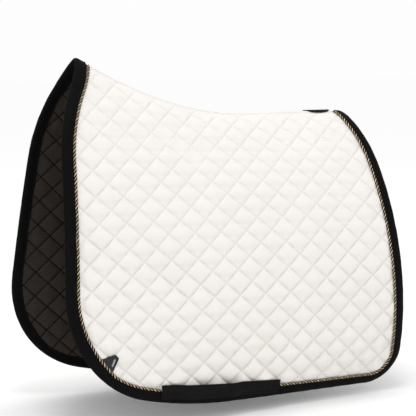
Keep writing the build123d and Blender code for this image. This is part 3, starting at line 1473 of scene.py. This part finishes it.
@dataclass
class GirthKeeper:
    """The webbing strap sewn low on one flap, and its seams.

    Args:
        form: the pad's shape.
        rim: the flap's edge.
        side: which flap.
    """

    form: PadForm
    rim: Rim
    side: Side
    centre: tuple[float, float] = (-55.0, -475.5)
    length: float = 247.0
    width: float = 26.0
    tilt: float = -4.4
    thick: float = 1.5
    slack_height: float = 9.5
    slack_span: tuple[float, float] = (-103.0, 49.0)
    ramp: float = 34.0
    seams: tuple[float, ...] = (-116.0, -107.0, 54.0, 104.0, 115.0)
    sewn_ends: tuple[tuple[float, float], ...] = ((-116.0, -107.0), (54.0, 115.0))
    cross_inset: float = 2.0
    long_inset: float = 2.2
    rest: float = 1.1
    cord_rise: tuple[float, float, float] = (2.6, 22.8, 4.5)
    cover_rise: float = 1.3
    cover_span: tuple[float, float] = (18.0, 24.0)
    columns: int = 19

    def _flat(self, along: np.ndarray, across: np.ndarray) -> tuple[np.ndarray, np.ndarray]:
        """Flat position of points of the strap.

        Args:
            along: distances along the strap from its middle.
            across: distances across it.

        Returns:
            The x and v of each point.
        """
        tilt = math.radians(self.tilt)
        x = self.centre[0] + along * math.cos(tilt) - across * math.sin(tilt)
        z = self.centre[1] + along * math.sin(tilt) + across * math.cos(tilt)
        return x, self.form.down(x, z)

    def _lift(self, x: np.ndarray, v: np.ndarray, along: np.ndarray) -> np.ndarray:
        """Height of the strap's inner face: over the cord, on the binding, and slack in the middle.

        Args:
            x: distances along the pad.
            v: distances down the flap.
            along: distances along the strap from its middle.

        Returns:
            Heights above the nominal face.
        """
        inset = self.rim.inside(x, v)
        rise, middle, width = self.cord_rise
        over_cord = rise * np.exp(-(((inset - middle) / width) ** 2))
        rest = self.rest + over_cord + self.cover_rise * rising(inset, *self.cover_span)
        up = smooth((along - self.slack_span[0]) / self.ramp)
        down = smooth((self.slack_span[1] - along) / self.ramp)
        slack = up * down
        return rest * (1 - 0.75 * slack) + (self.slack_height - 0.5) * slack

    def _strap(self) -> MeshData:
        """Make the strap as a closed band with rounded edges.

        Returns:
            The mesh data.
        """
        along = np.linspace(-self.length / 2, self.length / 2, 150)
        half = self.width / 2
        count = self.columns
        there, back = np.linspace(-half, half, count), np.linspace(half, -half, count)
        across = np.concatenate([there, back])
        rise = np.concatenate([np.full(count, self.thick), np.zeros(count)])
        rise[[0, count - 1]] = self.thick * 0.75
        rise[[count, -1]] = self.thick * 0.25
        grid_along, grid_across = np.meshgrid(along, across, indexing="ij")
        x, v = self._flat(grid_along, grid_across)
        edge = Ripple(0.25, 40.0, 21).height(grid_along, grid_across)
        lift = self._lift(x, v, grid_along) + rise[None, :] + edge
        points = self.form.place(x, v, lift, self.side).reshape(-1, 3)
        faces = strip_faces(len(along), len(across), close=True)
        if self.side is Side.RIGHT:
            faces = faces[:, ::-1]
        flat = np.stack([grid_along, grid_across], axis=-1).reshape(-1, 2) * MM
        return self._capped(MeshData(points, faces, flat), len(along), len(across))

    def _capped(self, band: MeshData, rows: int, columns: int) -> MeshData:
        """Close the strap's two cut ends.

        Args:
            band: the open band.
            rows: its number of rings of points.
            columns: points in each ring.

        Returns:
            The closed strap.
        """
        half = columns // 2
        caps = []
        for start, turn in ((0, 1), ((rows - 1) * columns, -1)):
            for k in range(half - 1):
                quad = [start + k, start + k + 1, start + columns - 2 - k, start + columns - 1 - k]
                caps.append(quad[:: turn if self.side is Side.RIGHT else -turn])
        return replace(band, faces=np.vstack([band.faces, np.array(caps)]))

    def _stitches(self) -> MeshData:
        """Sew rows of thread across the strap and along its sewn ends.

        Returns:
            The mesh data.
        """
        rows = []
        half = self.width / 2
        for place in self.seams:
            across = np.linspace(-half + self.cross_inset, half - self.cross_inset, 40)
            rows.append((np.full(40, place), across))
        for first, last in self.sewn_ends:
            for edge in (-half + self.long_inset, half - self.long_inset):
                along = np.linspace(first, last, 60)
                rows.append((along, np.full(60, edge)))
        parts = []
        for along, across in rows:
            x, v = self._flat(along, across)
            lift = self._lift(x, v, along) + self.thick + 0.05
            parts.append(KEEPER_THREAD.mesh(self.form, x, v, lift, self.side))
        return joined(parts)

    def build(self) -> list[bpy.types.Object]:
        """Make the strap and its seams and fix them to the flap.

        Returns:
            The pieces made.
        """
        word = self.side.word
        strap = self._strap().build(f"{word}_keeper_strap", [WEBBING])
        seams = self._stitches().build(f"{word}_keeper_stitches", [BLACK_THREAD])
        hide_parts(f"{word}_girth_keeper")
        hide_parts(f"{word}_girth_keeper_seams")
        for piece in (strap, seams):
            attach(piece, self.side.body)
        return [strap, seams]


@dataclass
class CornerTab:
    """The small moulded tab at the lower front corner, tucked under the binding.

    Args:
        form: the pad's shape.
        side: the flap that carries it.
    """

    form: PadForm
    side: Side = Side.LEFT
    centre: tuple[float, float] = (-271.5, -400.9)
    base: float = 33.5
    top: float = 9.5
    skew: float = 2.4
    height: float = 27.0
    turn: float = -49.5
    lift: float = 0.6
    depth: float = 530.0
    bar_start: tuple[float, float] = (8.0, -5.5)
    bar_end: tuple[float, float] = (2.2, 7.5)
    bar_radius: float = 1.8

    PROFILE = ((0.0, -3.0), (0.0, 0.6), (0.5, 1.3), (2.2, 1.3), (2.7, 0.8), (7.0, 0.8))

    def _outline(self, inset: float, count: int = 64) -> np.ndarray:
        """Rounded outline of the tab in its own plane.

        Args:
            inset: how far to move it in.
            count: roughly how many points it has.

        Returns:
            Its points, in millimetres.
        """
        shape = np.array(
            [
                (-self.base / 2, -self.height / 2),
                (self.base / 2, -self.height / 2),
                (self.top / 2 + self.skew, self.height / 2),
                (-self.top / 2 + self.skew, self.height / 2),
            ]
        )
        middle = shape.mean(0)
        reach = np.abs(shape - middle).max(0)
        shape = middle + (shape - middle) * (1 - inset / reach)
        dense = []
        for here, after in zip(shape, np.roll(shape, -1, axis=0)):
            dense.extend(here + (after - here) * k / 40 for k in range(40))
        dense = np.array(dense)
        kernel = np.exp(-np.linspace(-1.5, 1.5, 15) ** 2)
        kernel /= kernel.sum()
        padded = np.vstack([dense[-7:], dense, dense[:7]])
        soft = np.column_stack([np.convolve(padded[:, k], kernel, "valid") for k in (0, 1)])
        return soft[:: len(soft) // count]

    def _world(self, flat: np.ndarray, lift: np.ndarray) -> np.ndarray:
        """Positions of points of the tab's plane.

        Args:
            flat: points in the plane, in millimetres.
            lift: their heights above the nominal face.

        Returns:
            An array of points in metres.
        """
        turn = math.radians(self.turn)
        x = self.centre[0] + flat[:, 0] * math.cos(turn) - flat[:, 1] * math.sin(turn)
        z = self.centre[1] + flat[:, 0] * math.sin(turn) + flat[:, 1] * math.cos(turn)
        return self.form.place(x, self.form.down(x, z), lift, self.side)

    def _plate(self, rings: list[tuple[float, float]]) -> MeshData:
        """Make a raised plate from nested outlines.

        Args:
            rings: the inset and lift of each outline.

        Returns:
            The mesh data.
        """
        layers = [(self._outline(inset), lift) for inset, lift in rings]
        size = len(layers[0][0])
        points = np.vstack([self._world(flat, np.full(size, lift)) for flat, lift in layers])
        middle = self._world(layers[-1][0].mean(0)[None], np.array([layers[-1][1]]))
        faces = strip_faces(len(layers), size, close=True)
        last = (len(layers) - 1) * size
        fan = []
        for k in range(0, size, 2):
            fan.append((last + k, last + (k + 1) % size, last + (k + 2) % size, len(points)))
        flat = np.vstack([flat for flat, _ in layers] + [layers[-1][0].mean(0)[None]]) * MM
        return MeshData(np.vstack([points, middle]), np.vstack([faces, np.array(fan)]), flat)

    def _bar(self) -> MeshData:
        """Make a plain rounded bar along the tab's rear side.

        Returns:
            The mesh data.
        """
        count = 14
        path = np.linspace(self.bar_start, self.bar_end, count)
        points = self._world(path, np.full(count, self.lift + 1.0))
        facing = self.form.normals(np.array([self.centre[0]]), np.array([self.depth]), self.side)
        up = np.tile(facing, (count, 1))
        radii = np.full(count, self.bar_radius * MM)
        radii[[0, -1]] = 0.3 * MM
        radii[[1, -2]] = 1.4 * MM
        return tubes(points[None], up[None], radii, 10)

    def build(self) -> list[bpy.types.Object]:
        """Make the tab and its plain raised bar.

        Returns:
            The pieces made.
        """
        rings = [(inset, self.lift + rise) for inset, rise in self.PROFILE]
        plate = self._plate(rings).build("left_corner_tab_plate", [RUBBER])
        bar = self._bar().build("left_corner_tab_bar", [RUBBER_BAR])
        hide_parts("left_corner_tab")
        for piece in (plate, bar):
            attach(piece, self.side.body)
        return [plate, bar]


@dataclass
class Spine:
    """The tapes over and under the crown, and the small patch at the rear.

    Args:
        form: the pad's shape.
        rim: either flap's edge, for where the tapes end.
    """

    form: PadForm
    rim: Rim
    tape_half: float = 11.0
    lining_half: float = 13.0
    patch_centre: float = 240.5
    patch_half: tuple[float, float] = (29.5, 14.0)
    patch_lift: float = 1.9
    patch_sides: int = 72
    rib_pitch: float = 5.0
    tape_ends: tuple[float, float] = (17.0, 16.0)
    stitch_ends: tuple[float, float] = (19.0, 18.0)
    stitch_inset: float = 2.2
    columns: int = 17

    def _between(self, ends: tuple[float, float], step: float) -> np.ndarray:
        """Distances along the crown, short of the rim by the two ends' amounts."""
        return np.arange(self.rim.line[0, 0] + ends[0], self.rim.line[-1, 0] - ends[1], step)

    def _tape(self, half: float, top: float, droop: float, thick: float) -> MeshData:
        """A tape along the crown, as a closed band.

        Args:
            half: half of its width.
            top: lift of its outer face on the centre plane.
            droop: how far its sides fall below that.
            thick: its thickness.

        Returns:
            The tape's mesh data.
        """
        x = self._between(self.tape_ends, 3.0)
        count = self.columns
        spread = np.linspace(-half, half, count)
        v = np.concatenate([spread, spread[::-1]])
        face = np.concatenate([np.zeros(count), np.full(count, -thick)])
        lift = top - droop * (np.abs(v) / half) ** 4 + face
        lift[[0, count - 1]] -= thick * 0.3
        lift[[count, -1]] += thick * 0.3
        grid_x, grid_v = np.meshgrid(x, v, indexing="ij")
        uneven = Ripple(0.2, 30.0, 31).height(grid_x, grid_v)
        points = self.form.place(grid_x, grid_v, lift[None, :] + uneven, Side.RIGHT).reshape(-1, 3)
        faces = strip_faces(len(x), len(v), close=True)
        flat = np.stack([grid_x, grid_v], axis=-1).reshape(-1, 2) * MM
        return MeshData(points, faces, flat)

    def _tape_stitches(self) -> MeshData:
        """Sew two rows of white thread along the outer tape.

        Returns:
            The mesh data.
        """
        x = self._between(self.stitch_ends, 1.0)
        lift = np.full(x.shape, 0.15)
        parts = []
        for v in (-self.tape_half + self.stitch_inset, self.tape_half - self.stitch_inset):
            row = np.full(x.shape, v)
            parts.append(TAPE_THREAD.mesh(self.form, x, row, lift, Side.RIGHT))
        return joined(parts)

    def _patch(self) -> MeshData:
        """Make the oval patch with a raised rim and plain ribs.

        Returns:
            The mesh data.
        """
        radii = np.concatenate([[0.0], np.linspace(0.06, 0.9, 22), [0.94, 0.97, 0.99, 1.0, 1.0]])
        angle = 2 * math.pi * np.arange(self.patch_sides) / self.patch_sides
        x = self.patch_centre + self.patch_half[0] * np.outer(radii, np.cos(angle))
        v = self.patch_half[1] * np.outer(radii, np.sin(angle))
        rim = 0.35 * smooth((radii - 0.8) / 0.08) * (1 - smooth((radii - 0.95) / 0.05))
        ribs = 0.25 * (np.sin(2 * math.pi * v / self.rib_pitch) > 0.2) * (radii < 0.68)[:, None]
        fall = np.where(np.arange(len(radii)) == len(radii) - 1, -1.6, 0.0)
        rounding = 0.5 * smooth((radii - 0.96) / 0.04)
        lift = self.patch_lift + rim[:, None] + ribs + fall[:, None] - rounding[:, None]
        points = self.form.place(x, v, lift, Side.RIGHT).reshape(-1, 3)
        faces = strip_faces(len(radii), self.patch_sides, close=True)
        flat = np.stack([x, v], axis=-1).reshape(-1, 2) * MM
        return MeshData(points, faces[:, ::-1], flat)

    def build(self) -> list[bpy.types.Object]:
        """Make the tapes and the patch and fix them to the spine.

        Returns:
            The pieces made.
        """
        tape = self._tape(self.tape_half, 0.9, 2.1, 0.9).build("spine_outer_tape", [WHITE_TAPE])
        stitches = self._tape_stitches().build("spine_tape_stitches", [WHITE_THREAD])
        under = self._tape(self.lining_half, -9.0, -0.6, 0.8).build("spine_inner_tape", [LINING])
        patch = self._patch().build("spine_patch", [PATCH])
        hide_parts("spine_tape", "spine_padding", "spine_binding_withers", "spine_binding_rear")
        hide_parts("spine_lining_tape")
        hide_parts("spine_rear_patch")
        pieces = [tape, stitches, under, patch]
        slots = ["spine_tape", "spine_tape", "mesh_lining", "patch"]
        for piece, slot in zip(pieces, slots):
            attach(piece, "spine")
        return pieces


# --------------------------------------------------------------------------- stage


@dataclass
class Studio:
    """The pale floor and sky, the soft lights and the camera."""

    floor_z: float = -0.53
    azimuth: float = -29.22
    elevation: float = 6.46
    distance: float = 2.508
    lens: float = 115.7
    target: tuple[float, float, float] = (-0.0002, 0.0, -0.1677)
    sky_strength: float = 0.985
    key_place: tuple[float, float, float] = (-0.7, -1.3, 2.8)
    top_place: tuple[float, float, float] = (0.2, 0.6, 2.8)
    floor_reach: float = 30.0
    floor_lines: int = 13

    def _floor(self) -> None:
        """Lay a wide pale floor, gridded so that it is not a lone plane.
        """
        steps = np.linspace(-self.floor_reach, self.floor_reach, self.floor_lines)
        x, y = np.meshgrid(steps, steps, indexing="ij")
        points = np.column_stack([x.ravel(), y.ravel(), np.full(x.size, self.floor_z)])
        faces = strip_faces(self.floor_lines, self.floor_lines)[:, ::-1]
        floor = MeshData(points, faces, points[:, :2]).build("studio_floor", [FLOOR])

    def _light(self, name: str, place: tuple[float, float, float], size: float, power: float) -> None:
        """Add a round area light aimed at the pad.

        Args:
            name: the light's name.
            place: its position.
            size: its width in metres.
            power: its power in watts.
        """
        data = bpy.data.lights.new(name, "AREA")
        data.shape, data.size, data.energy = "DISK", size, power
        lamp = bpy.data.objects.new(name, data)
        lamp.location = place
        lamp.rotation_mode = "QUATERNION"
        lamp.rotation_quaternion = (Vector(self.target) - Vector(place)).to_track_quat("-Z", "Y")
        bpy.context.collection.objects.link(lamp)

    def _camera(self) -> None:
        """Add the camera, on the left flap's side and towards the withers."""
        az, el = math.radians(self.azimuth), math.radians(self.elevation)
        back = Vector((math.sin(az) * math.cos(el), -math.cos(az) * math.cos(el), math.sin(el)))
        data = bpy.data.cameras.new("camera")
        data.lens, data.sensor_width = self.lens, 36.0
        camera = bpy.data.objects.new("camera", data)
        camera.location = Vector(self.target) + back * self.distance
        camera.rotation_mode = "QUATERNION"
        camera.rotation_quaternion = (-back).to_track_quat("-Z", "Y")
        bpy.context.collection.objects.link(camera)
        bpy.context.scene.camera = camera

    def build(self) -> None:
        """Set the stage."""
        scene = bpy.context.scene
        world = bpy.data.worlds.new("studio_world")
        world.use_nodes = True
        sky = world.node_tree.nodes["Background"]
        sky.inputs["Color"].default_value = (1.0, 1.0, 1.0, 1.0)
        sky.inputs["Strength"].default_value = self.sky_strength
        scene.world = world
        scene.view_settings.view_transform = "Standard"
        self._floor()
        self._light("key_light", self.key_place, size=0.9, power=26.0)
        self._light("top_light", self.top_place, size=2.4, power=6.0)
        self._camera()


def main() -> None:
    """Build the pad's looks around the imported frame, in order, and report each piece."""
    logging.basicConfig(level=logging.INFO, format="%(name)s: %(message)s")
    form = PadForm()
    rim = Rim(form)
    cover = QuiltedSheet(form, rim, outer=True, line=-3.3, relief=4.2, edge=-1.5, finish=SATIN)
    lining = QuiltedSheet(
        form, rim, outer=False, line=-6.1, relief=-2.2, edge=-7.2, finish=LINING, divisions=5
    )
    pieces = []
    for side in Side:
        pieces += QuiltedFlap(cover, lining, side).build()
        pieces += EdgeTrim(form, rim, side).build()
        pieces += GirthKeeper(form, rim, side).build()
    pieces += CornerTab(form).build()
    pieces += Spine(form, rim).build()
    Studio().build()
    for piece in pieces:
        LOG.info("%s: %d vertices", piece.name, len(piece.data.vertices))


if __name__ == "__main__":
    main()
